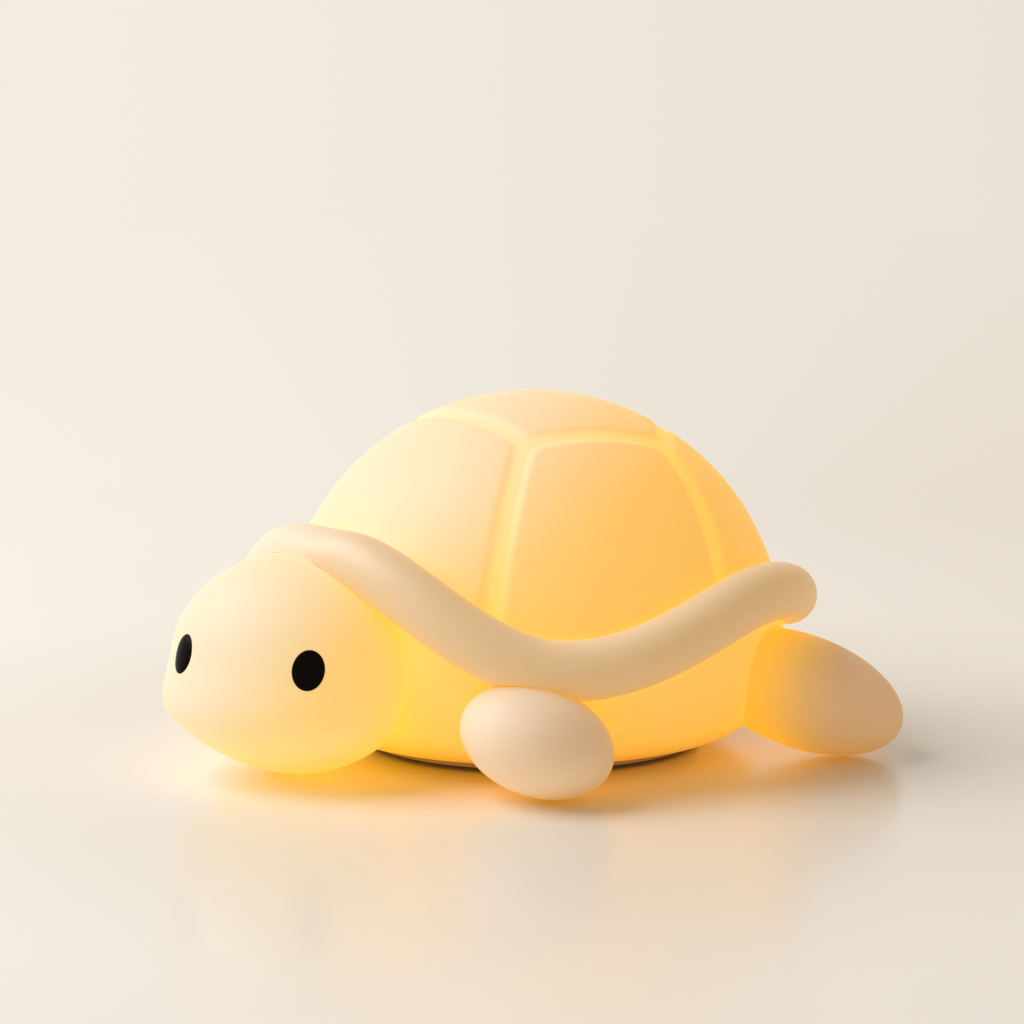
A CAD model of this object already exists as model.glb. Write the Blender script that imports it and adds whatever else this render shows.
"""Looks of the turtle night light: soft silicone skins, lit from inside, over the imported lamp.

Metres, +Z up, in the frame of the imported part. The head points to -Y and +X is the
turtle's own left. An azimuth is a plan angle from the front, positive to the left.
"""
from __future__ import annotations

import logging
import math
from abc import ABC, abstractmethod
from dataclasses import dataclass
from enum import Enum
from functools import cache

import bmesh
import bpy
import numpy as np
from mathutils import Matrix, Vector
from mathutils.kdtree import KDTree

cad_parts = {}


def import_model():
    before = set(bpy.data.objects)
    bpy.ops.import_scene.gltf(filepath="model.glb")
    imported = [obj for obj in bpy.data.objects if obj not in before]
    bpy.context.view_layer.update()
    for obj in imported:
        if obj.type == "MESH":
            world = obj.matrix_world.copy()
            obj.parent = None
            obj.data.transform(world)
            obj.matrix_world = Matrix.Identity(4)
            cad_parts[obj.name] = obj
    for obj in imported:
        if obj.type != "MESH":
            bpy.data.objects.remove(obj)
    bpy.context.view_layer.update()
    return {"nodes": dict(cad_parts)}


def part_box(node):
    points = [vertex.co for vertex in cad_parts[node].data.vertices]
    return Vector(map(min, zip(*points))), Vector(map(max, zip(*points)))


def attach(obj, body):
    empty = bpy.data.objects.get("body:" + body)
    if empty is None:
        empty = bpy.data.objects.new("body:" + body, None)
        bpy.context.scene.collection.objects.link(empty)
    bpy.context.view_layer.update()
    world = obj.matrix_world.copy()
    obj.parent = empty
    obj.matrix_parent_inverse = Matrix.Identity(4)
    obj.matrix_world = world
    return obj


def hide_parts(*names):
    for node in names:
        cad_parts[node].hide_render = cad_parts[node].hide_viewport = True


Triple = tuple[float, float, float]
Colour = Triple
Node = bpy.types.Node
Socket = bpy.types.NodeSocket
Tree = bpy.types.NodeTree
Piece = bpy.types.Object
Run = tuple[Vector, Vector]
LOG = logging.getLogger("turtle_night_light")
LAMP_BODY = "lamp"
SEAM_GAP = 0.00015
TINY = 1e-9


class Slot(Enum):
    """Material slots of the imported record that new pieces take."""

    SHELL = "shell_silicone"
    CREAM = "cream_silicone"
    EYE = "eye_gloss"


class Side(Enum):
    """Side of the turtle, as the sign of X."""

    LEFT = 1
    RIGHT = -1


class NodeBuilder:
    """Adds nodes to one tree and links them."""

    def __init__(self, tree: Tree) -> None:
        """Keep the tree that the nodes go into."""
        self.tree = tree

    def feed(self, socket: Socket, value: object) -> None:
        """Link a socket's source, or set its own value.

        Args:
            socket: The input to feed.
            value: A source socket, or a plain value.
        """
        if isinstance(value, Socket):
            self.tree.links.new(value, socket)
        else:
            socket.default_value = value

    def add(self, kind: str, inputs: dict | None = None, **settings: object) -> Node:
        """Add a node.

        Args:
            kind: Blender's name for the node type.
            inputs: Sources or values by input name or index.
            **settings: Properties of the node.

        Returns:
            The new node.
        """
        node = self.tree.nodes.new(kind)
        for name, value in settings.items():
            setattr(node, name, value)
        for key, value in (inputs or {}).items():
            self.feed(node.inputs[key], value)
        return node

    def math(self, operation: str, *operands: object) -> Socket:
        """Result of a Math node on values or sockets."""
        return self.add("ShaderNodeMath", dict(enumerate(operands)), operation=operation).outputs[0]

    def vector(self, operation: str, *operands: object) -> Socket:
        """Vector result of a Vector Math node on vectors or sockets."""
        return self.add("ShaderNodeVectorMath", dict(enumerate(operands)), operation=operation).outputs[0]

    def scaled(self, vector: object, factor: object) -> Socket:
        """A vector times a number."""
        node = self.add("ShaderNodeVectorMath", {0: vector, "Scale": factor}, operation="SCALE")
        return node.outputs[0]

    def length(self, vector: object) -> Socket:
        """Length of a vector."""
        return self.add("ShaderNodeVectorMath", {0: vector}, operation="LENGTH").outputs["Value"]

    def combine(self, x: object, y: object, z: object) -> Socket:
        """Vector of three numbers."""
        return self.add("ShaderNodeCombineXYZ", {0: x, 1: y, 2: z}).outputs[0]

    def mix(self, factor: object, first: object, second: object, blend: str = "MIX") -> Socket:
        """Mix of two colours."""
        inputs = {0: factor, 6: first, 7: second}
        return self.add("ShaderNodeMix", inputs, data_type="RGBA", blend_type=blend).outputs[2]

    def grey(self, value: object) -> Socket:
        """Grey colour of a number."""
        return self.add("ShaderNodeCombineColor", dict.fromkeys(range(3), value)).outputs[0]

    def dot(self, first: object, second: object) -> Socket:
        """Dot product of two vectors."""
        node = self.add("ShaderNodeVectorMath", {0: first, 1: second}, operation="DOT_PRODUCT")
        return node.outputs["Value"]

    def ease(self, value: object, low: object, high: object) -> Socket:
        """Smooth step of a value from 0 at low to 1 at high."""
        inputs = {0: value, 1: low, 2: high}
        return self.add("ShaderNodeMapRange", inputs, interpolation_type="SMOOTHSTEP").outputs[0]

    def noise(self, place: object, scale: object, detail: float = 2.0) -> Socket:
        """Smooth noise from 0 to 1."""
        inputs = {"Vector": place, "Scale": scale, "Detail": detail}
        return self.add("ShaderNodeTexNoise", inputs).outputs[0]

    def object_place(self) -> Socket:
        """Place on the piece, in metres of the part's frame."""
        return self.add("ShaderNodeTexCoord").outputs["Object"]


@dataclass(frozen=True)
class GroupParts:
    """A new node group with its ends."""

    tree: Tree
    nodes: NodeBuilder
    given: Node
    result: Node

    def source(self, name: str) -> Socket:
        """Socket that brings one of the group's inputs."""
        return self.given.outputs[name]

    def put(self, name: str, value: Socket) -> None:
        """Send a value out of the group."""
        self.nodes.feed(self.result.inputs[name], value)


def rgba(colour: Colour) -> tuple[float, float, float, float]:
    """Opaque colour for a socket."""
    return (*colour, 1.0)


def new_group(name: str, kind: str, inputs: dict[str, object], outputs: dict[str, str]) -> GroupParts:
    """Start a node group with named sockets.

    Args:
        name: Name of the group.
        kind: Blender's tree type.
        inputs: Default value of each input: a number, a vector or a colour. None is geometry.
        outputs: Socket type of each output.

    Returns:
        The empty group and its ends.
    """
    tree = bpy.data.node_groups.new(name, kind)
    for label, value in inputs.items():
        if value is None:
            tree.interface.new_socket(label, in_out="INPUT", socket_type="NodeSocketGeometry")
            continue
        size = len(value) if hasattr(value, "__len__") else 1
        socket_type = {1: "NodeSocketFloat", 3: "NodeSocketVector", 4: "NodeSocketColor"}[size]
        tree.interface.new_socket(label, in_out="INPUT", socket_type=socket_type).default_value = value
    for label, socket_type in outputs.items():
        tree.interface.new_socket(label, in_out="OUTPUT", socket_type=socket_type)
    nodes = NodeBuilder(tree)
    return GroupParts(tree, nodes, nodes.add("NodeGroupInput"), nodes.add("NodeGroupOutput"))


SURFACE_OUTPUTS = {"Tone": "NodeSocketFloat", "Roughness": "NodeSocketFloat", "Height": "NodeSocketFloat"}


@cache
def grain_group() -> Tree:
    """Soft mottling and fine skin of a moulded surface.

    Returns:
        The shader group, built once.
    """
    inputs = {"Patch Scale": 70.0, "Grain Scale": 2600.0, "Mottle": 0.04, "Roughness": 0.5, "Spread": 0.08}
    group = new_group("surface_grain", "ShaderNodeTree", inputs, SURFACE_OUTPUTS)
    nodes = group.nodes
    place = nodes.object_place()
    fine = nodes.noise(place, group.source("Grain Scale"))
    swing = nodes.math("SUBTRACT", nodes.noise(place, group.source("Patch Scale")), 0.5)
    group.put("Tone", nodes.math("MULTIPLY_ADD", swing, group.source("Mottle"), 1.0))
    mixed = nodes.math("ADD", swing, nodes.math("SUBTRACT", fine, 0.5))
    rough = nodes.math("MULTIPLY_ADD", mixed, group.source("Spread"), group.source("Roughness"))
    group.put("Roughness", rough)
    group.put("Height", fine)
    return group.tree


@cache
def brushed_group() -> Tree:
    """Fine drawn lines of bare metal.

    Returns:
        The shader group, built once.
    """
    inputs = {"Stretch": (900.0, 900.0, 9000.0), "Roughness": 0.3, "Spread": 0.2, "Contrast": 0.16}
    group = new_group("brushed_lines", "ShaderNodeTree", inputs, SURFACE_OUTPUTS)
    nodes = group.nodes
    lines = nodes.noise(nodes.vector("MULTIPLY", nodes.object_place(), group.source("Stretch")), 1.0, 3.0)
    swing = nodes.math("SUBTRACT", lines, 0.5)
    group.put("Tone", nodes.math("MULTIPLY_ADD", swing, group.source("Contrast"), 1.0))
    rough = nodes.math("MULTIPLY_ADD", swing, group.source("Spread"), group.source("Roughness"))
    group.put("Roughness", rough)
    group.put("Height", lines)
    return group.tree


@cache
def glow_group() -> Tree:
    """Colour of the lamp's light in the silicone, by distance from the lamp's middle.

    Returns:
        The shader group, built once.
    """
    inputs = {
        "Middle": (0.0, 0.0, 0.0),
        "Start": 0.06,
        "End": 0.1,
        "Near Colour": (1.0, 0.6, 0.1, 1.0),
        "Far Colour": (0.0, 0.0, 0.0, 1.0),
        "Thin": 0.0,
        "Thin Colour": (0.0, 0.0, 0.0, 1.0),
    }
    outputs = {"Colour": "NodeSocketColor", "Share": "NodeSocketFloat"}
    group = new_group("inner_glow", "ShaderNodeTree", inputs, outputs)
    nodes = group.nodes
    away = nodes.length(nodes.vector("SUBTRACT", nodes.object_place(), group.source("Middle")))
    fade = nodes.ease(away, group.source("Start"), group.source("End"))
    colour = nodes.mix(fade, group.source("Near Colour"), group.source("Far Colour"))
    group.put("Colour", nodes.mix(group.source("Thin"), colour, group.source("Thin Colour"), "ADD"))
    group.put("Share", nodes.math("SUBTRACT", 1.0, fade))
    return group.tree


@dataclass(frozen=True)
class Finish(ABC):
    """A surface finish that makes its own material once."""

    name: str
    colour: Colour

    @abstractmethod
    def dress(self, nodes: NodeBuilder, shader: Node) -> None:
        """Feed the shader of a new material."""

    def material(self) -> bpy.types.Material:
        """Material of this finish, made on first use.

        Returns:
            The material.
        """
        known = bpy.data.materials.get(self.name)
        if known is not None:
            return known
        material = bpy.data.materials.new(self.name)
        material.use_nodes = True
        material.diffuse_color = rgba(self.colour)
        nodes = NodeBuilder(material.node_tree)
        self.dress(nodes, material.node_tree.nodes["Principled BSDF"])
        return material

    @staticmethod
    def skin(
        nodes: NodeBuilder, shader: Node, tree: Tree, body: object, depth: float,
        **sizes: object,
    ) -> None:
        """Lay a shared surface group over a body colour.

        Args:
            nodes: Builder of the material's tree.
            shader: The Principled BSDF.
            tree: The surface group.
            body: Colour under the surface.
            depth: Depth of the relief in metres.
            **sizes: Values of the group's inputs.
        """
        surface = nodes.add("ShaderNodeGroup", sizes, node_tree=tree)
        tone = nodes.grey(surface.outputs["Tone"])
        nodes.feed(shader.inputs["Base Color"], nodes.mix(1.0, body, tone, "MULTIPLY"))
        nodes.feed(shader.inputs["Roughness"], surface.outputs["Roughness"])
        bump(nodes, shader, surface.outputs["Height"], depth)


def bump(nodes: NodeBuilder, shader: Node, height: Socket, depth: float) -> None:
    """Give a shader a fine relief, of a depth in metres and a height from 0 to 1."""
    relief = nodes.add("ShaderNodeBump", {"Strength": 1.0, "Distance": depth, "Height": height})
    nodes.feed(shader.inputs["Normal"], relief.outputs[0])


@dataclass(frozen=True)
class Glow:
    """Light that a piece of silicone lets out, between two distances from the lamp's middle."""

    near: Colour
    far: Colour
    start: float
    end: float
    thin: Colour = (0.0, 0.0, 0.0)


@dataclass(frozen=True)
class SideTint:
    """Paler silicone on the side of a piece that faces a direction."""

    towards: Triple
    colour: Colour
    glow: Colour
    start: float
    end: float

    def share(self, nodes: NodeBuilder, middle: Triple) -> Socket:
        """Share of the pale side, from nought to one along its direction from the light's middle."""
        away = nodes.vector("SUBTRACT", nodes.object_place(), middle)
        return nodes.ease(nodes.dot(away, self.towards), self.start, self.end)


@dataclass(frozen=True)
class SiliconeFinish(Finish):
    """Satin moulded silicone, lit from inside."""

    deep_colour: Colour
    glow: Glow
    middle: Triple
    roughness: float = 0.5
    mottle: float = 0.03
    grain_depth: float = 0.00002
    specular: float = 0.2
    thin_attribute: str = ""
    side: SideTint | None = None

    def dress(self, nodes: NodeBuilder, shader: Node) -> None:
        """Feed the shader of a new material.

        Args:
            nodes: Builder of the material's tree.
            shader: The Principled BSDF.
        """
        pale = rgba(self.colour)
        far = rgba(self.glow.far)
        if self.side is not None:
            share = self.side.share(nodes, self.middle)
            pale = nodes.mix(share, pale, rgba(self.side.colour))
            far = nodes.mix(share, far, rgba(self.side.glow))
        inputs = {
            "Middle": self.middle,
            "Start": self.glow.start,
            "End": self.glow.end,
            "Near Colour": rgba(self.glow.near),
            "Far Colour": far,
            "Thin Colour": rgba(self.glow.thin),
        }
        if self.thin_attribute:
            thin = nodes.add("ShaderNodeAttribute", attribute_name=self.thin_attribute)
            inputs["Thin"] = thin.outputs["Fac"]
        light = nodes.add("ShaderNodeGroup", inputs, node_tree=glow_group())
        body = nodes.mix(light.outputs["Share"], pale, rgba(self.deep_colour))
        self.skin(
            nodes, shader, grain_group(), body, self.grain_depth, Mottle=self.mottle, Roughness=self.roughness
        )
        nodes.feed(shader.inputs["Emission Color"], light.outputs["Colour"])
        shader.inputs["Emission Strength"].default_value = 1.0
        shader.inputs["Specular IOR Level"].default_value = self.specular


@dataclass(frozen=True)
class MouldedFinish(Finish):
    """Moulded plastic, rubber or coated board with a fine skin."""

    roughness: float = 0.45
    mottle: float = 0.05
    grain_depth: float = 0.00002
    coat: float = 0.0
    specular: float = 0.5
    emission: float = 0.0

    def dress(self, nodes: NodeBuilder, shader: Node) -> None:
        """Feed the shader of a new material.

        Args:
            nodes: Builder of the material's tree.
            shader: The Principled BSDF.
        """
        self.skin(
            nodes, shader, grain_group(), rgba(self.colour), self.grain_depth,
            Mottle=self.mottle, Roughness=self.roughness,
        )
        shader.inputs["Coat Weight"].default_value = self.coat
        shader.inputs["Specular IOR Level"].default_value = self.specular
        if self.emission:
            shader.inputs["Emission Color"].default_value = rgba(self.colour)
            shader.inputs["Emission Strength"].default_value = self.emission


@dataclass(frozen=True)
class MetalFinish(Finish):
    """Bare or plated metal with drawn lines."""

    roughness: float = 0.3
    stretch: Triple = (900.0, 900.0, 9000.0)
    line_depth: float = 0.000005

    def dress(self, nodes: NodeBuilder, shader: Node) -> None:
        """Feed the shader of a new material.

        Args:
            nodes: Builder of the material's tree.
            shader: The Principled BSDF.
        """
        self.skin(
            nodes, shader, brushed_group(), rgba(self.colour), self.line_depth,
            Roughness=self.roughness, Stretch=self.stretch,
        )
        shader.inputs["Metallic"].default_value = 1.0


@dataclass(frozen=True)
class BoardFinish(Finish):
    """Solder mask over copper tracks."""

    track: Colour
    pitch: float = 0.0024
    unevenness: float = 0.35
    track_edges: tuple[float, float] = (0.05, 0.12)
    track_depth: float = 0.00003
    roughness: float = 0.35
    coat: float = 0.4

    def dress(self, nodes: NodeBuilder, shader: Node) -> None:
        """Feed the shader of a new material.

        Args:
            nodes: Builder of the material's tree.
            shader: The Principled BSDF.
        """
        place = nodes.object_place()
        cells = nodes.add(
            "ShaderNodeTexVoronoi",
            {"Vector": place, "Scale": 1.0 / self.pitch, "Randomness": self.unevenness},
            feature="DISTANCE_TO_EDGE",
        )
        line = nodes.ease(cells.outputs[0], *self.track_edges)
        nodes.feed(shader.inputs["Base Color"], nodes.mix(line, rgba(self.track), rgba(self.colour)))
        bump(nodes, shader, nodes.math("SUBTRACT", 1.0, line), self.track_depth)
        shader.inputs["Roughness"].default_value = self.roughness
        shader.inputs["Coat Weight"].default_value = self.coat


def mesh_piece(name: str, points: np.ndarray, faces: list, finish: Finish | None = None) -> Piece:
    """New object from points and faces, shaded smooth.

    Args:
        name: Name of the piece.
        points: Points in metres.
        faces: Point numbers of each face.
        finish: Finish of the piece, where no node tree sets it.

    Returns:
        The piece, at the origin.
    """
    mesh = bpy.data.meshes.new(name)
    mesh.from_pydata(points.tolist(), [], faces)
    mesh.shade_smooth()
    if finish is not None:
        mesh.materials.append(finish.material())
    piece = bpy.data.objects.new(name, mesh)
    bpy.context.scene.collection.objects.link(piece)
    return piece


def ball_points(levels: int) -> tuple[np.ndarray, list]:
    """Evenly divided unit ball.

    Args:
        levels: Levels of division.

    Returns:
        Its points and its faces.
    """
    form = bmesh.new()
    bmesh.ops.create_icosphere(form, subdivisions=levels, radius=1.0)
    points = np.array([vertex.co for vertex in form.verts])
    faces = [[vertex.index for vertex in face.verts] for face in form.faces]
    form.free()
    return points, faces


def lathe(name: str, profile: np.ndarray, segments: int) -> Piece:
    """Closed surface of revolution about Z.

    Args:
        name: Name of the piece.
        profile: Radius and height of each ring, from pole to pole; the poles have radius 0.
        segments: Points in each ring.

    Returns:
        The piece.
    """
    turn = np.arange(segments) * 2 * math.pi / segments
    rings = profile[1:-1]
    around = np.stack([np.cos(turn), np.sin(turn)], axis=1)
    plan = rings[:, None, :1] * around[None, :, :]
    height = np.repeat(rings[:, 1], segments).reshape(len(rings), segments, 1)
    body = np.concatenate([plan, height], axis=2).reshape(-1, 3)
    poles = np.array([[0.0, 0.0, profile[0, 1]], [0.0, 0.0, profile[-1, 1]]])
    first = len(body)
    faces = []
    for ring in range(len(rings) - 1):
        low = ring * segments
        for step in range(segments):
            following = (step + 1) % segments
            faces.append((low + step, low + segments + step, low + segments + following, low + following))
    last = (len(rings) - 1) * segments
    for step in range(segments):
        following = (step + 1) % segments
        faces.append((first, step, following))
        faces.append((first + 1, last + following, last + step))
    return mesh_piece(name, np.concatenate([body, poles]), faces)


def bake_modifiers(piece: Piece) -> None:
    """Turn a piece's evaluated shape into its plain mesh.

    Args:
        piece: The piece, which loses its modifiers.
    """
    depsgraph = bpy.context.evaluated_depsgraph_get()
    mesh = bpy.data.meshes.new_from_object(piece.evaluated_get(depsgraph))
    piece.modifiers.clear()
    piece.data = mesh


def run_tree(piece: Piece, tree: Tree, sizes: dict[str, object]) -> None:
    """Shape a piece with a geometry node tree and keep the plain mesh.

    Args:
        piece: The piece whose mesh goes into the tree.
        tree: The geometry node tree.
        sizes: Values of the tree's named inputs.
    """
    modifier = piece.modifiers.new(tree.name, "NODES")
    modifier.node_group = tree
    sockets = {item.name: item.identifier for item in tree.interface.items_tree if item.in_out == "INPUT"}
    for label, value in sizes.items():
        modifier[sockets[label]] = value
    bake_modifiers(piece)


def hand_over(piece: Piece, slot: Slot, *nodes: str) -> Piece:
    """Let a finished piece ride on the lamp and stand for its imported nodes.

    Args:
        piece: The finished piece.
        slot: The record's slot of its finish.
        *nodes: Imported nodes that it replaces.

    Returns:
        The piece.
    """
    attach(piece, LAMP_BODY)
    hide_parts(*nodes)
    LOG.info("%s stands for %s with %d faces", piece.name, ", ".join(nodes), len(piece.data.polygons))
    return piece


@dataclass(frozen=True)
class ShellForm:
    """Outline of the shell: a dome over a belly that tucks in to a flat."""

    radius: float
    middle_height: float
    bottom: float
    belly_flat: float = 0.042
    wall: float = 0.003

    @classmethod
    def from_frame(cls) -> ShellForm:
        """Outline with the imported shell's own sizes.

        Returns:
            The outline.
        """
        low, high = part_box("shell_skin")
        radius = (high.x - low.x) / 2
        return cls(radius, high.z - radius, low.z)

    @property
    def middle(self) -> Vector:
        """Middle of the dome."""
        return Vector((0.0, 0.0, self.middle_height))

    def dome_ring(self, radius: float, angle: float) -> tuple[float, float]:
        """Plan radius and height of a ring on the dome, at an angle from its top."""
        return radius * math.sin(angle), self.middle_height + radius * math.cos(angle)

    def belly_ring(self, wide: float, deep: float, angle: float) -> tuple[float, float]:
        """Plan radius and height of a ring on the belly, at an angle below the dome's edge."""
        return self.belly_flat + wide * math.cos(angle), self.middle_height - deep * math.sin(angle)

    def belly_reach(self, height: np.ndarray, gap: float) -> np.ndarray:
        """Plan radius of the belly at heights below the dome's middle.

        Args:
            height: Heights in metres.
            gap: Clearance from the belly.

        Returns:
            The radii.
        """
        drop = (self.middle_height - height) / (self.middle_height - self.bottom + gap)
        wide = self.radius + gap - self.belly_flat
        return self.belly_flat + wide * np.sqrt(np.clip(1 - drop ** 2, 0, 1))

    def clear(self, points: np.ndarray, gap: float) -> np.ndarray:
        """Move points out of the shell, onto its surface.

        Args:
            points: Points in metres.
            gap: Clearance from the shell.

        Returns:
            The moved points.
        """
        middle = np.array(self.middle)
        away = points - middle
        span = np.linalg.norm(away, axis=1)
        upper = points[:, 2] >= self.middle_height
        grow = np.where(upper, np.maximum(1, (self.radius + gap) / np.maximum(span, gap)), 1)
        moved = middle + away * grow[:, None]
        reach = np.hypot(moved[:, 0], moved[:, 1])
        inside = ~upper & (moved[:, 2] > self.bottom)
        limit = self.belly_reach(moved[:, 2], gap)
        push = np.where(inside, np.maximum(1, limit / np.maximum(reach, gap)), 1)
        moved[:, :2] *= push[:, None]
        return moved


@dataclass(frozen=True)
class BandTurn:
    """A crest or dip of the rim band."""

    name: str
    azimuth: float
    rise: float
    sink: float


@dataclass(frozen=True)
class EggForm:
    """Ellipsoid with a frame of its own."""

    centre: Vector
    axes: Matrix
    halves: Vector

    def place(self, points: np.ndarray) -> np.ndarray:
        """Points of the egg's own frame in the part's frame."""
        return points @ np.array(self.axes).T + np.array(self.centre)

    def keep_out(self) -> dict[str, object]:
        """Values for the keep-out group."""
        grown = self.halves + Vector((SEAM_GAP, SEAM_GAP, SEAM_GAP))
        return {"Centre": self.centre, "Turn": Vector(self.axes.to_euler("XYZ")), "Halves": grown}


def polar(azimuth: float, reach: float, height: float) -> Vector:
    """Point at a plan angle in degrees from the front, a reach from the axis and a height."""
    turn = math.radians(azimuth)
    return Vector((reach * math.sin(turn), -reach * math.cos(turn), height))


@dataclass
class Flipper:
    """Solid egg-shaped foot, seated on the belly."""

    name: str
    halves: Vector
    azimuth: float
    standoff: float
    yaw: float
    pitch: float
    roll: float
    floor_gap: float = 0.0004
    levels: int = 6

    def egg(self, shell: ShellForm, side: Side) -> EggForm:
        """Place and size of the egg on one side.

        Args:
            shell: Outline of the shell that carries it.
            side: Side of the turtle.

        Returns:
            The egg, just off the floor.
        """
        turn, dip, bank = (math.radians(angle) for angle in (self.yaw, self.pitch, self.roll))
        along = Vector((math.cos(turn) * math.cos(dip), math.sin(turn) * math.cos(dip), -math.sin(dip)))
        level = Vector((-math.sin(turn), math.cos(turn), 0.0))
        up = along.cross(level)
        across = level * math.cos(bank) + up * math.sin(bank)
        normal = up * math.cos(bank) - level * math.sin(bank)
        own = (along, across, normal)
        axes = Matrix(own).transposed()
        drop = math.sqrt(sum((half * axis.z) ** 2 for half, axis in zip(self.halves, own)))
        centre = polar(self.azimuth, shell.radius + self.standoff, self.floor_gap + drop)
        if side is Side.RIGHT:
            mirror = Matrix.Diagonal((-1.0, 1.0, 1.0))
            axes = mirror @ axes @ Matrix.Diagonal((1.0, -1.0, 1.0))
            centre = mirror @ centre
        return EggForm(centre, axes, self.halves)

    def build(self, shell: ShellForm, side: Side, finish: Finish) -> Piece:
        """Make the flipper of one side.

        Args:
            shell: Outline of the shell that carries it.
            side: Side of the turtle.
            finish: Finish of the silicone.

        Returns:
            The piece.
        """
        points, faces = ball_points(self.levels)
        placed = self.egg(shell, side).place(points * np.array(self.halves))
        node = f"{self.name}_{side.name.lower()}_flipper"
        piece = mesh_piece(f"{node}_silicone", shell.clear(placed, SEAM_GAP), faces, finish)
        return hand_over(piece, Slot.CREAM, node)


def egg_distance(points: np.ndarray, halves: Triple) -> np.ndarray:
    """Signed distance of points to an ellipsoid at the origin, close to its surface.

    Args:
        points: Points in metres.
        halves: Half axes of the ellipsoid.

    Returns:
        The distances, negative inside.
    """
    sizes = np.array(halves)
    level = np.linalg.norm(points / sizes, axis=1)
    slope = np.linalg.norm(points / sizes ** 2, axis=1)
    return level * (level - 1) / np.maximum(slope, TINY)


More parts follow.
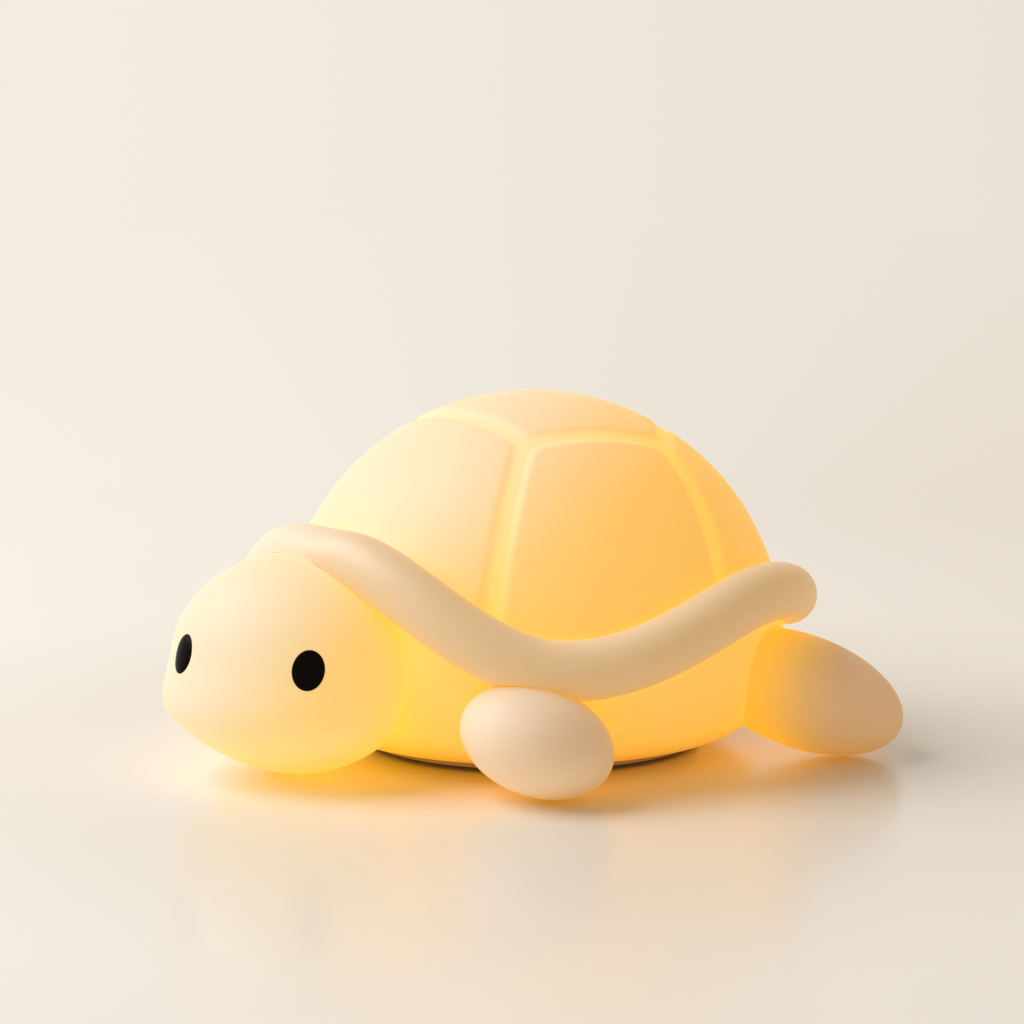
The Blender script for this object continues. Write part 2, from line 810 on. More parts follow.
@dataclass
class Head:
    """Hollow head with a broad soft muzzle, turned to the left, and its two eyes."""

    half_length: float = 0.0268
    half_width: float = 0.029
    half_height: float = 0.025
    standoff: float = 0.0058
    floor_gap: float = 0.0006
    turn: float = 27.6
    tilt: float = -2.0
    muzzle_half_length: float = 0.017
    muzzle_half_width: float = 0.0256
    muzzle_half_height: float = 0.010
    muzzle_forward: float = 0.0112
    muzzle_drop: float = 0.0078
    muzzle_blend: float = 0.0065
    eye_half_width: float = 0.0036
    eye_half_height: float = 0.0045
    eye_azimuth: float = 36.2
    eye_elevation: float = 7.5
    eye_lean: float = 6.0
    eye_roll: float = 3.0
    eye_proud: float = 0.0007
    eye_inset: float = 0.0015
    levels: int = 7
    search_rounds: int = 40
    search_from: float = 0.5
    search_to: float = 1.6
    slope_step: float = 1e-5
    eye_rings: int = 20
    eye_segments: int = 64

    def egg(self, shell: ShellForm) -> EggForm:
        """Skull of the head, without its muzzle.

        Args:
            shell: Outline of the shell that carries it.

        Returns:
            The egg, just off the floor.
        """
        centre = polar(0.0, shell.radius + self.standoff, self.floor_gap + self.half_height)
        facing = math.radians(self.turn)
        forward = Vector((math.sin(facing), -math.cos(facing), 0.0))
        left = Vector((math.cos(facing), math.sin(facing), 0.0))
        level = Matrix((forward, left, Vector((0.0, 0.0, 1.0)))).transposed()
        axes = level @ Matrix.Rotation(math.radians(self.tilt), 3, "X")
        return EggForm(centre, axes, Vector((self.half_length, self.half_width, self.half_height)))

    def depth(self, points: np.ndarray) -> np.ndarray:
        """Signed distance of points to the skull blended with the muzzle.

        Args:
            points: Points in the head's own frame.

        Returns:
            The distances, negative inside.
        """
        skull = egg_distance(points, (self.half_length, self.half_width, self.half_height))
        shifted = points - np.array([self.muzzle_forward, 0.0, -self.muzzle_drop])
        halves = (self.muzzle_half_length, self.muzzle_half_width, self.muzzle_half_height)
        muzzle = egg_distance(shifted, halves)
        share = np.clip(0.5 + 0.5 * (muzzle - skull) / self.muzzle_blend, 0, 1)
        return muzzle + (skull - muzzle) * share - self.muzzle_blend * share * (1 - share)

    def leave(self, starts: np.ndarray, rays: np.ndarray, low: float, high: float) -> np.ndarray:
        """Points where rays leave the blended form.

        Args:
            starts: Points that the rays start from.
            rays: Direction of each ray, or one for all.
            low: Distance along the rays that is inside.
            high: Distance along the rays that is outside.

        Returns:
            The points.
        """
        near = np.full((len(starts), 1), low)
        far = np.full((len(starts), 1), high)
        for _ in range(self.search_rounds):
            guess = (near + far) / 2
            outside = self.depth(starts + rays * guess)[:, None] > 0
            far = np.where(outside, guess, far)
            near = np.where(outside, near, guess)
        return starts + rays * far

    def surface(self, rays: np.ndarray) -> np.ndarray:
        """Points where rays from the head's middle leave its blended form."""
        low, high = self.search_from * self.half_height, self.search_to * self.half_width
        return self.leave(np.zeros_like(rays), rays, low, high)

    def build_skin(self, shell: ShellForm, finish: Finish) -> Piece:
        """Make the head's skin, closed behind where it meets the shell.

        Args:
            shell: Outline of the shell.
            finish: Finish of the silicone.

        Returns:
            The piece.
        """
        rays, faces = ball_points(self.levels)
        placed = self.egg(shell).place(self.surface(rays))
        piece = mesh_piece("head_silicone", shell.clear(placed, SEAM_GAP), faces, finish)
        return hand_over(piece, Slot.SHELL, "head_skin")

    def build_eye(self, shell: ShellForm, side: Side, finish: Finish) -> Piece:
        """Make one domed oval eye that follows the curve of the head.

        Args:
            shell: Outline of the shell.
            side: Side of the turtle.
            finish: Finish of the eye.

        Returns:
            The piece.
        """
        swing = math.radians(side.value * self.eye_azimuth)
        rise = math.radians(self.eye_elevation)
        ray = np.array([math.cos(rise) * math.cos(swing), math.cos(rise) * math.sin(swing), math.sin(rise)])
        origin = self.surface(ray[None])[0]
        step = self.slope_step * np.eye(3)
        normal = self.depth(origin + step) - self.depth(origin - step)
        normal /= np.linalg.norm(normal)
        across = np.cross([0.0, 0.0, 1.0], normal)
        across /= np.linalg.norm(across)
        upright = np.cross(normal, across)
        lean = math.radians(-side.value * self.eye_lean - self.eye_roll)
        wide = across * math.cos(lean) + upright * math.sin(lean)
        tall = upright * math.cos(lean) - across * math.sin(lean)
        ring = np.sin(0.5 * math.pi * np.arange(1, self.eye_rings + 1) / self.eye_rings)
        share = np.repeat(ring, self.eye_segments)
        angle = np.tile(np.arange(self.eye_segments) * 2 * math.pi / self.eye_segments, self.eye_rings)
        flat = origin + np.outer(self.eye_half_width * share * np.cos(angle), wide)
        flat = flat + np.outer(self.eye_half_height * share * np.sin(angle), tall)
        seated = self.leave(flat, normal, -self.eye_half_height, self.eye_half_height)
        crown = seated + np.outer(self.eye_proud * np.sqrt(1 - share ** 2), normal)
        tip = [origin + normal * self.eye_proud]
        back = [origin - normal * self.eye_inset]
        points = np.concatenate([tip, crown, crown[-self.eye_segments:] - normal * self.eye_inset, back])
        node = f"{side.name.lower()}_eye"
        placed = self.egg(shell).place(points)
        piece = mesh_piece(f"{node}_gloss", placed, self.eye_faces(), finish)
        return hand_over(piece, Slot.EYE, node)

    def eye_faces(self) -> list:
        """Faces of an eye: a crown, a side wall and a flat back.

        Returns:
            Point numbers of each face.
        """
        count = self.eye_segments
        faces = []
        for step in range(count):
            following = (step + 1) % count
            faces.append((0, 1 + step, 1 + following))
            for ring in range(self.eye_rings):
                low = 1 + ring * count
                faces.append((low + step, low + count + step, low + count + following, low + following))
            back = 1 + self.eye_rings * count
            faces.append((back + step, back + count, back + following))
        return faces


@dataclass(frozen=True)
class ScuteCorner:
    """Left corner of the top scute, and the foot of the groove that runs down from it."""

    azimuth: float
    reach: float
    foot_azimuth: float

    def mirrored(self) -> ScuteCorner:
        """The same corner on the right."""
        return ScuteCorner(-self.azimuth, self.reach, -self.foot_azimuth)


@dataclass
class ScuteShell:
    """Silicone shell with soft grooves between its scutes."""

    groove_width: float = 0.0045
    groove_depth: float = 0.00055
    shoulder: float = 0.0024
    corner_radius: float = 0.004
    left_corners: tuple[ScuteCorner, ...] = (
        ScuteCorner(51.0, 0.032, 44.6),
        ScuteCorner(115.0, 0.0345, 102.3),
        ScuteCorner(163.0, 0.032, 161.0),
    )
    seam_glow: float = 0.6
    seam_width: float = 0.0035
    neck_width: float = 0.02
    neck_glow: float = 1.2
    lip_radius: float = 0.036
    dome_rings: int = 130
    belly_rings: int = 22
    inner_rings: int = 14
    segments: int = 480
    port_width: float = 0.0134
    port_height: float = 0.0076
    port_corner: float = 0.0026
    port_step: int = 10
    groove_samples: int = 40

    def profile(self, shell: ShellForm) -> np.ndarray:
        """Section of the shell's wall, outside down to the lip and back up inside.

        Args:
            shell: Outline of the shell.

        Returns:
            Radius and height of each ring.
        """
        wide = shell.radius - shell.belly_flat
        deep = shell.middle_height - shell.bottom
        rows = []
        for ring in range(self.dome_rings + 1):
            angle = 0.5 * math.pi * ring / self.dome_rings
            rows.append(shell.dome_ring(shell.radius, angle))
        for ring in range(1, self.belly_rings + 1):
            angle = 0.5 * math.pi * ring / self.belly_rings
            rows.append(shell.belly_ring(wide, deep, angle))
        edge = shell.wall / 4
        lip_top = shell.bottom + shell.wall
        rows += [
            (self.lip_radius + edge, shell.bottom),
            (self.lip_radius, shell.bottom + edge),
            (self.lip_radius, lip_top - edge),
            (self.lip_radius + edge, lip_top),
        ]
        inner = [0.5 * math.pi * (1 - ring / self.inner_rings) for ring in range(self.inner_rings + 1)]
        rows += [shell.belly_ring(wide - shell.wall, deep - shell.wall, angle) for angle in inner]
        rows += [shell.dome_ring(shell.radius - shell.wall, angle) for angle in inner[1:]]
        return np.array(rows)

    def groove_ends(self, shell: ShellForm, band: RimBand) -> dict[str, list[Run]]:
        """Ends of each groove on the dome: round the top scute, and from its corners under the band.

        Args:
            shell: Outline of the shell.
            band: The rim band that hides the outer ends.

        Returns:
            Start and end points of the ring's grooves and of those that run down.
        """
        corners = list(self.left_corners) + [corner.mirrored() for corner in reversed(self.left_corners)]
        places = []
        for corner in corners:
            lift = math.sqrt(shell.radius ** 2 - corner.reach ** 2)
            places.append(polar(corner.azimuth, corner.reach, shell.middle_height + lift))
        feet = [band.point(shell, corner.foot_azimuth) for corner in corners]
        return {"ring": list(zip(places, places[1:] + places[:1])), "down": list(zip(places, feet))}

    def groove_tree(self, ends: dict[str, list[Run]], material: bpy.types.Material) -> Tree:
        """Node tree that presses grooves into the dome along great circles.

        Args:
            ends: Start and end of each groove, in sets that meet at rounded corners.
            material: Material of the shell.

        Returns:
            The tree.
        """
        sizes = {
            "Geometry": None,
            "Middle": (0.0, 0.0, 0.0),
            "Dome Radius": 0.06,
            "Width": 0.005,
            "Depth": 0.001,
            "Shoulder": 0.001,
            "Corner Radius": 0.004,
        }
        group = new_group("scute_grooves", "GeometryNodeTree", sizes, {"Geometry": "NodeSocketGeometry"})
        nodes = group.nodes
        place = nodes.add("GeometryNodeInputPosition").outputs[0]
        away = nodes.vector("SUBTRACT", place, group.source("Middle"))
        out = nodes.vector("NORMALIZE", away)
        arc = nodes.vector("ADD", nodes.scaled(out, group.source("Dome Radius")), group.source("Middle"))
        distances = []
        for lines in ends.values():
            joined = nodes.add("GeometryNodeJoinGeometry")
            for start, end in lines:
                line = nodes.add("GeometryNodeCurvePrimitiveLine", {"Start": start, "End": end})
                nodes.feed(joined.inputs[0], line.outputs[0])
            inputs = {"Curve": joined.outputs[0], "Count": self.groove_samples}
            dense = nodes.add("GeometryNodeResampleCurve", inputs)
            bent = nodes.add("GeometryNodeSetPosition", {"Geometry": dense.outputs[0], "Position": arc})
            wires = nodes.add("GeometryNodeCurveToMesh", {"Curve": bent.outputs[0]})
            near = nodes.add("GeometryNodeProximity", {0: wires.outputs[0]}, target_element="EDGES")
            distances.append(near.outputs["Distance"])
        distance = nodes.math("SMOOTH_MIN", *distances, group.source("Corner Radius"))
        half = nodes.math("MULTIPLY", group.source("Width"), 0.5)
        soft = nodes.math("MULTIPLY", group.source("Shoulder"), 0.5)
        far_edge = nodes.math("ADD", half, soft)
        near_edge = nodes.math("SUBTRACT", half, soft)
        mask = nodes.math("SUBTRACT", 1.0, nodes.ease(distance, near_edge, far_edge))
        inner_limit = nodes.math("SUBTRACT", group.source("Dome Radius"), group.source("Depth"))
        outside = nodes.math("GREATER_THAN", nodes.length(away), inner_limit)
        mask = nodes.math("MULTIPLY", mask, outside)
        press = nodes.math("MULTIPLY", mask, nodes.math("MULTIPLY", group.source("Depth"), -1.0))
        marked = nodes.add(
            "GeometryNodeStoreNamedAttribute",
            {"Geometry": group.source("Geometry"), "Name": "groove", "Value": mask},
            data_type="FLOAT",
            domain="POINT",
        )
        pressed = nodes.add(
            "GeometryNodeSetPosition", {"Geometry": marked.outputs[0], "Offset": nodes.scaled(out, press)}
        )
        real = nodes.add("GeometryNodeRealizeInstances", {"Geometry": pressed.outputs[0]})
        dressed = nodes.add("GeometryNodeSetMaterial", {"Geometry": real.outputs[0], "Material": material})
        group.put("Geometry", dressed.outputs[0])
        return group.tree

    def cut_port(self, piece: Piece, shell: ShellForm) -> None:
        """Cut the window for the charging lead through the rear of the skin.

        Args:
            piece: The shell.
            shell: Outline of the shell.
        """
        low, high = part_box("usb_shell")
        height = (low.z + high.z) / 2
        outline = []
        for turn in range(0, 360, self.port_step):
            angle = math.radians(turn)
            x = self.port_corner * math.cos(angle)
            z = self.port_corner * math.sin(angle)
            x += math.copysign(self.port_width / 2 - self.port_corner, x)
            z += math.copysign(self.port_height / 2 - self.port_corner, z)
            outline.append((x, z))
        count = len(outline)
        points = [(x, shell.belly_flat, height + z) for x, z in outline]
        points += [(x, 2 * shell.radius, height + z) for x, z in outline]
        faces = []
        for step in range(count):
            following = (step + 1) % count
            faces.append((step, following, count + following, count + step))
        faces += [tuple(reversed(range(count))), tuple(range(count, 2 * count))]
        cutter = mesh_piece("port_cutter", np.array(points), faces)
        form = bmesh.new()
        form.from_mesh(cutter.data)
        bmesh.ops.recalc_face_normals(form, faces=form.faces)
        form.to_mesh(cutter.data)
        form.free()
        modifier = piece.modifiers.new("port", "BOOLEAN")
        modifier.operation = "DIFFERENCE"
        modifier.solver = "EXACT"
        modifier.object = cutter
        bake_modifiers(piece)
        bpy.data.objects.remove(cutter)

    def build(self, shell: ShellForm, band: RimBand, neck: EggForm, finish: Finish) -> Piece:
        """Make the shell.

        Args:
            shell: Outline of the shell.
            band: The rim band that hides the grooves' outer ends.
            neck: The head's form, where it meets the shell.
            finish: Finish of the silicone.

        Returns:
            The piece.
        """
        piece = lathe("shell_silicone_skin", self.profile(shell), self.segments)
        self.cut_port(piece, shell)
        tree = self.groove_tree(self.groove_ends(shell, band), finish.material())
        run_tree(piece, tree, {
            "Middle": shell.middle,
            "Dome Radius": shell.radius,
            "Width": self.groove_width,
            "Depth": self.groove_depth,
            "Shoulder": self.shoulder,
            "Corner Radius": self.corner_radius,
        })
        piece.data.shade_smooth()
        self.light_seams(piece, shell, band, neck)
        return hand_over(piece, Slot.SHELL, "shell_skin")

    def light_seams(self, piece: Piece, shell: ShellForm, band: RimBand, neck: EggForm) -> None:
        """Let more light out of the skin along both edges of the band and round the neck.

        Args:
            piece: The shell with its groove attribute.
            shell: Outline of the shell.
            band: The rim band.
            neck: The head, which lets its own light back onto the shell.
        """
        line = KDTree(band.steps)
        for step in range(band.steps):
            line.insert(band.point(shell, 360.0 * step / band.steps - 180.0), step)
        line.balance()
        for vertex, mark in zip(piece.data.vertices, piece.data.attributes["groove"].data):
            band_gap = line.find(vertex.co)[2] - band.roll
            neck_gap = (vertex.co - neck.centre).length - max(neck.halves)
            seams = ((band_gap, self.seam_width, self.seam_glow), (neck_gap, self.neck_width, self.neck_glow))
            for gap, width, glow in seams:
                share = min(max(gap / width, 0.0), 1.0)
                mark.value = max(mark.value, glow * (1 - share) ** 2)


@dataclass
class RimBand:
    """Wavy roll of silicone round the dome, over the head and the front flippers."""

    roll: float = 0.0068
    skew: float = 3.0
    turns: tuple[BandTurn, ...] = (
        BandTurn("Front", 7.0, 0.0256, 0.0009),
        BandTurn("Side", 59.0, 0.0038, 0.0042),
        BandTurn("Crest", 112.0, 0.0162, 0.0034),
        BandTurn("Tail", 158.0, 0.0094, 0.0055),
    )
    steps: int = 360
    profile_steps: int = 56

    def point(self, shell: ShellForm, azimuth: float) -> Vector:
        """Point on the band's centre line; its crest leans to the turned head's side.

        Args:
            shell: Outline of the shell.
            azimuth: Plan angle in degrees from the front.

        Returns:
            The point.
        """
        lean = self.skew * (1 + math.cos(math.radians(azimuth))) / 2
        away = abs(azimuth - lean)
        rise = self.turns[0].rise
        sink = self.turns[0].sink
        for turn, following in zip(self.turns, self.turns[1:]):
            share = (away - turn.azimuth) / (following.azimuth - turn.azimuth)
            ease = (1 - math.cos(math.pi * min(max(share, 0.0), 1.0))) / 2
            rise += (following.rise - turn.rise) * ease
            sink += (following.sink - turn.sink) * ease
        span = shell.radius + self.roll - sink
        return polar(azimuth, math.sqrt(span ** 2 - rise ** 2), shell.middle_height + rise)

    @staticmethod
    def keep_out_tree() -> Tree:
        """Node group that moves points out of an ellipsoid, onto its surface.

        Returns:
            The group.
        """
        sizes = {"Position": (0.0, 0.0, 0.0), "Centre": (0.0, 0.0, 0.0), "Turn": (0.0, 0.0, 0.0),
                 "Halves": (1.0, 1.0, 1.0)}
        group = new_group("keep_out", "GeometryNodeTree", sizes, {"Position": "NodeSocketVector"})
        nodes = group.nodes
        away = nodes.vector("SUBTRACT", group.source("Position"), group.source("Centre"))
        turned = nodes.add("ShaderNodeVectorRotate", {"Vector": away, "Rotation": group.source("Turn")},
                           rotation_type="EULER_XYZ", invert=True).outputs[0]
        unit = nodes.vector("DIVIDE", turned, group.source("Halves"))
        grow = nodes.math("DIVIDE", 1.0, nodes.math("MINIMUM", nodes.length(unit), 1.0))
        moved = nodes.vector("MULTIPLY", nodes.scaled(unit, grow), group.source("Halves"))
        back = nodes.add("ShaderNodeVectorRotate", {"Vector": moved, "Rotation": group.source("Turn")},
                         rotation_type="EULER_XYZ").outputs[0]
        group.put("Position", nodes.vector("ADD", back, group.source("Centre")))
        return group.tree

    def wave(self, group: GroupParts, azimuth: Socket) -> tuple[Socket, ...]:
        """Rise and sink of the centre line, eased between the turns.

        Args:
            group: The band's tree.
            azimuth: Plan angle from the front, without sign.

        Returns:
            Rise and sink.
        """
        nodes = group.nodes
        heights = []
        for kind in ("Rise", "Sink"):
            height = group.source(f"{self.turns[0].name} {kind}")
            for turn, following in zip(self.turns, self.turns[1:]):
                ends = (group.source(f"{turn.name} Azimuth"), group.source(f"{following.name} Azimuth"))
                inputs = {0: azimuth, 1: ends[0], 2: ends[1], 4: math.pi}
                swing = nodes.add("ShaderNodeMapRange", inputs).outputs[0]
                ease = nodes.math("MULTIPLY_ADD", nodes.math("COSINE", swing), -0.5, 0.5)
                step = nodes.math("SUBTRACT", group.source(f"{following.name} {kind}"),
                                  group.source(f"{turn.name} {kind}"))
                height = nodes.math("MULTIPLY_ADD", step, ease, height)
            heights.append(height)
        return tuple(heights)

    def band_tree(self, seats: list[EggForm], material: bpy.types.Material) -> Tree:
        """Node tree that lays the roll along its wave and seats it.

        Args:
            seats: Eggs that the roll lies against, besides the dome.
            material: Material of the band.

        Returns:
            The tree.
        """
        sizes = {"Geometry": None, "Middle": (0.0, 0.0, 0.0), "Dome Radius": 0.06, "Roll Radius": 0.006}
        for turn in self.turns:
            sizes |= {f"{turn.name} Azimuth": 0.0, f"{turn.name} Rise": 0.0, f"{turn.name} Sink": 0.0}
        group = new_group("rim_band", "GeometryNodeTree", sizes, {"Geometry": "NodeSocketGeometry"})
        nodes = group.nodes
        path = nodes.add("GeometryNodeCurvePrimitiveCircle", {"Resolution": self.steps})
        index = nodes.add("GeometryNodeInputIndex").outputs[0]
        turn = nodes.math("MULTIPLY", index, 2 * math.pi / self.steps)
        half_skew = math.radians(self.skew) / 2
        lean = nodes.math("MULTIPLY_ADD", nodes.math("COSINE", turn), half_skew, half_skew)
        rise, sink = self.wave(group, nodes.math("PINGPONG", nodes.math("SUBTRACT", turn, lean), math.pi))
        outer = nodes.math("ADD", group.source("Dome Radius"), group.source("Roll Radius"))
        span = nodes.math("SUBTRACT", outer, sink)
        squares = (nodes.math("POWER", size, 2.0) for size in (span, rise))
        reach = nodes.math("SQRT", nodes.math("SUBTRACT", *squares))
        back = nodes.math("MULTIPLY", nodes.math("MULTIPLY", reach, nodes.math("COSINE", turn)), -1.0)
        spot = nodes.combine(nodes.math("MULTIPLY", reach, nodes.math("SINE", turn)), back, rise)
        line = nodes.add("GeometryNodeSetPosition", {
            "Geometry": path.outputs[0], "Position": nodes.vector("ADD", spot, group.source("Middle")),
        })
        ring = nodes.add("GeometryNodeCurvePrimitiveCircle", {
            "Resolution": self.profile_steps, "Radius": group.source("Roll Radius"),
        })
        inputs = {"Curve": line.outputs[0], "Profile Curve": ring.outputs[0]}
        tube = nodes.add("GeometryNodeCurveToMesh", inputs)
        keep_out = self.keep_out_tree()
        reached = nodes.math("ADD", group.source("Dome Radius"), SEAM_GAP)
        place = nodes.add("GeometryNodeInputPosition").outputs[0]
        seated = nodes.add("GeometryNodeGroup", {
            "Position": place,
            "Centre": group.source("Middle"),
            "Halves": nodes.combine(reached, reached, reached),
        }, node_tree=keep_out).outputs[0]
        for seat in seats:
            inputs = {"Position": seated} | seat.keep_out()
            seated = nodes.add("GeometryNodeGroup", inputs, node_tree=keep_out).outputs[0]
        fitted = nodes.add("GeometryNodeSetPosition", {"Geometry": tube.outputs[0], "Position": seated})
        smooth = nodes.add("GeometryNodeSetShadeSmooth", {"Geometry": fitted.outputs[0]})
        real = nodes.add("GeometryNodeRealizeInstances", {"Geometry": smooth.outputs[0]})
        dressed = nodes.add("GeometryNodeSetMaterial", {"Geometry": real.outputs[0], "Material": material})
        group.put("Geometry", dressed.outputs[0])
        return group.tree

    def build(self, shell: ShellForm, seats: list[EggForm], finish: Finish) -> Piece:
        """Make the band.

        Args:
            shell: Outline of the shell.
            seats: Eggs that the roll lies against, besides the dome.
            finish: Finish of the silicone.

        Returns:
            The piece.
        """
        piece = mesh_piece("rim_band_silicone", np.zeros((1, 3)), [])
        sizes = {"Middle": shell.middle, "Dome Radius": shell.radius, "Roll Radius": self.roll}
        for turn in self.turns:
            sizes |= {
                f"{turn.name} Azimuth": math.radians(turn.azimuth),
                f"{turn.name} Rise": turn.rise,
                f"{turn.name} Sink": turn.sink,
            }
        run_tree(piece, self.band_tree(seats, finish.material()), sizes)
        return hand_over(piece, Slot.CREAM, "rim_band")


@dataclass
class LightBase:
    """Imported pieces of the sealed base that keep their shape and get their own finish."""

    finishes: dict[str, Finish]

    def dress(self, nodes: dict[str, Piece]) -> None:
        """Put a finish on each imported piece.

        Args:
            nodes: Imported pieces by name.
        """
        for name, finish in self.finishes.items():
            piece = nodes[name]
            if not piece.material_slots:
                piece.data.materials.append(finish.material())
            for slot in piece.material_slots:
                slot.material = finish.material()
            LOG.info("%s gets %s", name, finish.name)


@dataclass
class Studio:
    """Seamless pale stage, soft lights and the photograph's camera."""

    floor_colour: Colour = (0.91, 0.865, 0.785)
    left_colour: Colour = (0.92, 0.87, 0.78)
    right_colour: Colour = (0.80, 0.73, 0.63)
    backdrop_spread: float = 0.4
    floor_reach: float = 4.0
    floor_segments: int = 96
    lit_reach: float = 0.22
    blend_reach: float = 0.62
    floor_lift: Colour = (0.10, 0.088, 0.08)
    shade_reach: float = 0.075
    gloss: float = 0.22
    fill: float = 0.26
    fill_colour: Colour = (1.0, 0.93, 0.80)
    key_place: Triple = (-0.64, -0.88, 1.10)
    key_power: float = 21.5
    key_size: float = 1.25
    camera_place: Triple = (0.55476, -0.40306, 0.14248)
    camera_aim: Triple = (-0.00442, -0.00270, 0.05473)
    camera_angle: float = 20.0

    def backdrop(self, nodes: NodeBuilder, direction: Socket) -> Socket:
        """Backdrop colour by the direction from the lamp, paler on the key light's side.

        Args:
            nodes: Builder of the material's or the world's tree.
            direction: Direction from the lamp.

        Returns:
            The colour.
        """
        key = Vector((self.key_place[0], self.key_place[1], 0.0)).normalized()
        share = nodes.ease(nodes.dot(direction, key), -self.backdrop_spread, self.backdrop_spread)
        return nodes.mix(share, rgba(self.right_colour), rgba(self.left_colour))

    @staticmethod
    def seen(nodes: NodeBuilder) -> Socket:
        """Tell rays that show the backdrop from rays that light the lamp.

        Args:
            nodes: Builder of the material's or the world's tree.

        Returns:
            One for rays that show it, nought for rays that light.
        """
        path = nodes.add("ShaderNodeLightPath")
        shown = nodes.math("MAXIMUM", path.outputs["Is Camera Ray"], path.outputs["Is Glossy Ray"])
        return nodes.math("MAXIMUM", shown, path.outputs["Is Transmission Ray"])

    def build_floor(self) -> Piece:
        """Make the floor, which turns into the backdrop away from the lamp.

        Returns:
            The floor.
        """
        form = bmesh.new()
        bmesh.ops.create_circle(form, cap_ends=True, segments=self.floor_segments, radius=self.floor_reach)
        mesh = bpy.data.meshes.new("stage_floor")
        form.to_mesh(mesh)
        form.free()
        floor = bpy.data.objects.new("stage_floor", mesh)
        bpy.context.scene.collection.objects.link(floor)
        material = bpy.data.materials.new("stage_floor")
        material.use_nodes = True
        nodes = NodeBuilder(material.node_tree)
        shader = material.node_tree.nodes["Principled BSDF"]
        shader.inputs["Base Color"].default_value = rgba(self.floor_colour)
        shader.inputs["Roughness"].default_value = self.gloss
        place = nodes.object_place()
        away = nodes.length(place)
        lit = nodes.ease(away, self.shade_reach, self.lit_reach)
        lift = nodes.mix(lit, rgba((0.0, 0.0, 0.0)), rgba(self.floor_lift))
        nodes.feed(shader.inputs["Emission Color"], lift)
        shader.inputs["Emission Strength"].default_value = 1.0
        backdrop = self.backdrop(nodes, nodes.vector("NORMALIZE", place))
        glow = nodes.add("ShaderNodeEmission", {"Color": backdrop})
        share = nodes.math("MULTIPLY", nodes.ease(away, self.lit_reach, self.blend_reach), self.seen(nodes))
        mixed = nodes.add("ShaderNodeMixShader", {0: share, 1: shader.outputs[0], 2: glow.outputs[0]})
        output = material.node_tree.nodes["Material Output"]
        nodes.feed(output.inputs["Surface"], mixed.outputs[0])
        floor.data.materials.append(material)
        return floor

    def build_world(self) -> None:
        """Light the lamp evenly and show the backdrop behind it."""
        world = bpy.data.worlds.new("studio")
        world.use_nodes = True
        bpy.context.scene.world = world
        nodes = NodeBuilder(world.node_tree)
        direction = nodes.add("ShaderNodeTexCoord").outputs["Generated"]
        light = tuple(self.fill * part for part in self.fill_colour)
        colour = nodes.mix(self.seen(nodes), rgba(light), self.backdrop(nodes, direction))
        nodes.feed(world.node_tree.nodes["Background"].inputs["Color"], colour)

    def build_key(self) -> None:
        """Hang the large soft key light."""
        data = bpy.data.lights.new("key", "AREA")
        data.energy = self.key_power
        data.size = self.key_size
        light = bpy.data.objects.new("key", data)
        light.location = self.key_place
        light.rotation_euler = (-Vector(self.key_place)).to_track_quat("-Z", "Y").to_euler()
        bpy.context.scene.collection.objects.link(light)

    def build_camera(self) -> None:
        """Set up the camera of the photograph."""
        data = bpy.data.cameras.new("camera")
        data.angle = math.radians(self.camera_angle)
        camera = bpy.data.objects.new("camera", data)
        camera.location = self.camera_place
        aim = Vector(self.camera_aim) - Vector(self.camera_place)
        camera.rotation_euler = aim.to_track_quat("-Z", "Y").to_euler()
        bpy.context.scene.collection.objects.link(camera)
        bpy.context.scene.camera = camera

    def build(self) -> None:
        """Set up the whole studio."""
        bpy.context.scene.view_settings.view_transform = "Standard"
        self.build_floor()
        self.build_world()
        self.build_key()
        self.build_camera()


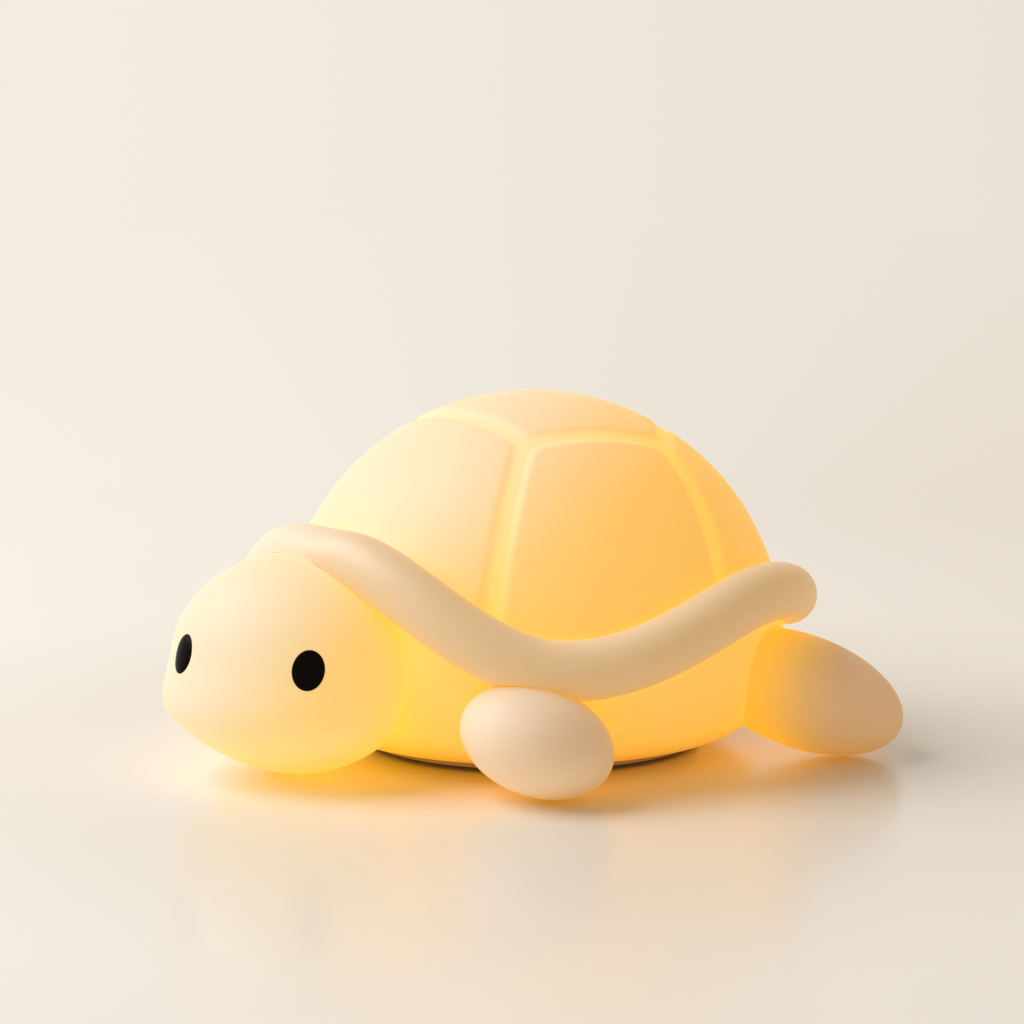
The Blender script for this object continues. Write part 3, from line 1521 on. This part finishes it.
def silicone_finishes(shell: ShellForm) -> dict[str, SiliconeFinish]:
    """Finishes of the soft pieces, lit from the middle of the dome.

    Args:
        shell: Outline of the shell.

    Returns:
        Finish by piece.
    """
    middle = tuple(shell.middle)
    neck_side, neck_drop = 0.018, 0.016
    neck = (neck_side, 0.0, shell.middle_height - neck_drop)
    key_way, dome_way = (-0.41, -0.57, 0.72), (-0.37, -0.51, 0.78)
    reach = shell.radius
    thin = (0.07, 0.08, 0.0)
    shell_glow = Glow((0.50, 0.20, 0.0), (0.73, 0.34, 0.02), reach - 0.009, reach - 0.002, thin)
    key_side = SideTint(dome_way, (0.60, 0.51, 0.56), (0.66, 0.32, 0.0), 0.011, 0.047)
    key_head = SideTint(key_way, (0.47, 0.38, 0.43), (0.60, 0.46, 0.17), 0.046, 0.071)
    head_glow = Glow((0.80, 0.43, 0.03), (0.68, 0.43, 0.09), reach, reach + 0.034)
    key_band = SideTint(key_way, (0.70, 0.65, 0.60), (0.27, 0.16, 0.04), 0.050, 0.066)
    band_glow = Glow((0.54, 0.25, 0.01), (0.34, 0.155, 0.01), reach, reach + 0.003)
    front_glow = Glow((0.72, 0.29, 0.0), (0.30, 0.12, 0.0), reach, reach + 0.010)
    rear_glow = Glow((0.70, 0.33, 0.02), (0.29, 0.11, 0.0), reach, reach + 0.019)
    foot_deep = (0.55, 0.36, 0.12)
    return {
        "shell": SiliconeFinish(
            "shell_silicone_lit", (0.56, 0.46, 0.26), (0.50, 0.36, 0.20), shell_glow, middle,
            thin_attribute="groove", side=key_side,
        ),
        "head": SiliconeFinish(
            "head_silicone_lit", (0.48, 0.38, 0.24), (0.50, 0.40, 0.38), head_glow, neck, side=key_head
        ),
        "band": SiliconeFinish(
            "band_silicone_cream", (0.60, 0.54, 0.45), (0.58, 0.46, 0.29), band_glow, middle,
            roughness=0.42, specular=0.5, side=key_band,
        ),
        "front": SiliconeFinish("front_foot_silicone", (0.72, 0.69, 0.63), foot_deep, front_glow, middle),
        "rear": SiliconeFinish("rear_foot_silicone", (0.70, 0.64, 0.54), foot_deep, rear_glow, middle),
    }


def base_finishes() -> dict[str, Finish]:
    """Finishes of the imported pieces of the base.

    Returns:
        Finish by piece.
    """
    steel = MetalFinish("zinc_steel", (0.62, 0.62, 0.63))
    epoxy = MouldedFinish("moulded_epoxy", (0.03, 0.03, 0.035), 0.4)
    red = MouldedFinish("lead_red_soft", (0.55, 0.05, 0.04), 0.45)
    black = MouldedFinish("lead_black_soft", (0.03, 0.03, 0.03), 0.45)
    return {
        "base_tray": MouldedFinish("tray_moulding", (0.50, 0.38, 0.25), 0.6),
        "base_housing": MouldedFinish("base_moulding", (0.88, 0.84, 0.76), 0.5),
        "foot_pad": MouldedFinish("pad_rubber_matt", (0.62, 0.58, 0.52), 0.8, grain_depth=0.00006),
        "base_screws": steel,
        "board_screws": steel,
        "led_screws": steel,
        "main_board": BoardFinish("board_solder_mask", (0.03, 0.16, 0.07), (0.08, 0.28, 0.13)),
        "board_chips": epoxy,
        "tap_sensor": MetalFinish("sensor_drawn_can", (0.70, 0.69, 0.66), 0.25),
        "switch_body": epoxy,
        "switch_plunger": MouldedFinish("plunger_moulding", (0.35, 0.22, 0.14), 0.5),
        "power_button": MouldedFinish("button_gloss", (0.92, 0.90, 0.86), 0.25, coat=0.5),
        "usb_shell": MetalFinish("socket_nickel", (0.74, 0.74, 0.75), 0.2, (900.0, 9000.0, 900.0)),
        "usb_tongue": epoxy,
        "battery": MetalFinish("cell_foil", (0.72, 0.73, 0.75), 0.35, (400.0, 400.0, 400.0)),
        "battery_tape": MouldedFinish("tape_foam_dark", (0.20, 0.20, 0.21), 0.9, grain_depth=0.0001),
        "battery_plug": MouldedFinish("plug_moulding", (0.90, 0.89, 0.84), 0.45),
        "battery_lead_red": red,
        "battery_lead_black": black,
        "led_board": BoardFinish("light_board_white", (0.90, 0.90, 0.88), (0.82, 0.82, 0.80)),
        "leds": MouldedFinish("light_phosphor", (0.98, 0.80, 0.30), 0.3, emission=1.0),
        "led_lead_red": red,
        "led_lead_black": black,
        "diffuser": MouldedFinish("diffuser_opal", (0.96, 0.94, 0.89), 0.55, emission=0.6),
    }


def main() -> None:
    """Build the lamp's looks piece by piece."""
    logging.basicConfig(level=logging.INFO, format="%(name)s: %(message)s")
    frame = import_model()
    shell = ShellForm.from_frame()
    finishes = silicone_finishes(shell)
    band = RimBand()
    head = Head()
    front = Flipper(
        "front", Vector((0.0175, 0.0168, 0.012)), azimuth=55.0, standoff=0.005,
        yaw=20.0, pitch=14.0, roll=-13.0,
    )
    rear = Flipper(
        "rear", Vector((0.0252, 0.0161, 0.0132)), azimuth=127.0, standoff=0.0055,
        yaw=58.0, pitch=20.0, roll=1.0,
    )
    ScuteShell().build(shell, band, head.egg(shell), finishes["shell"])
    seats = [head.egg(shell)] + [front.egg(shell, side) for side in Side]
    band.build(shell, seats, finishes["band"])
    head.build_skin(shell, finishes["head"])
    eye_black = (0.004, 0.003, 0.002)
    eye_finish = MouldedFinish("eye_gloss_black", eye_black, 0.25, grain_depth=0.000002, specular=0.035)
    for side in Side:
        head.build_eye(shell, side, eye_finish)
        front.build(shell, side, finishes["front"])
        rear.build(shell, side, finishes["rear"])
    LightBase(base_finishes()).dress(frame["nodes"])
    Studio().build()


if __name__ == "__main__":
    main()
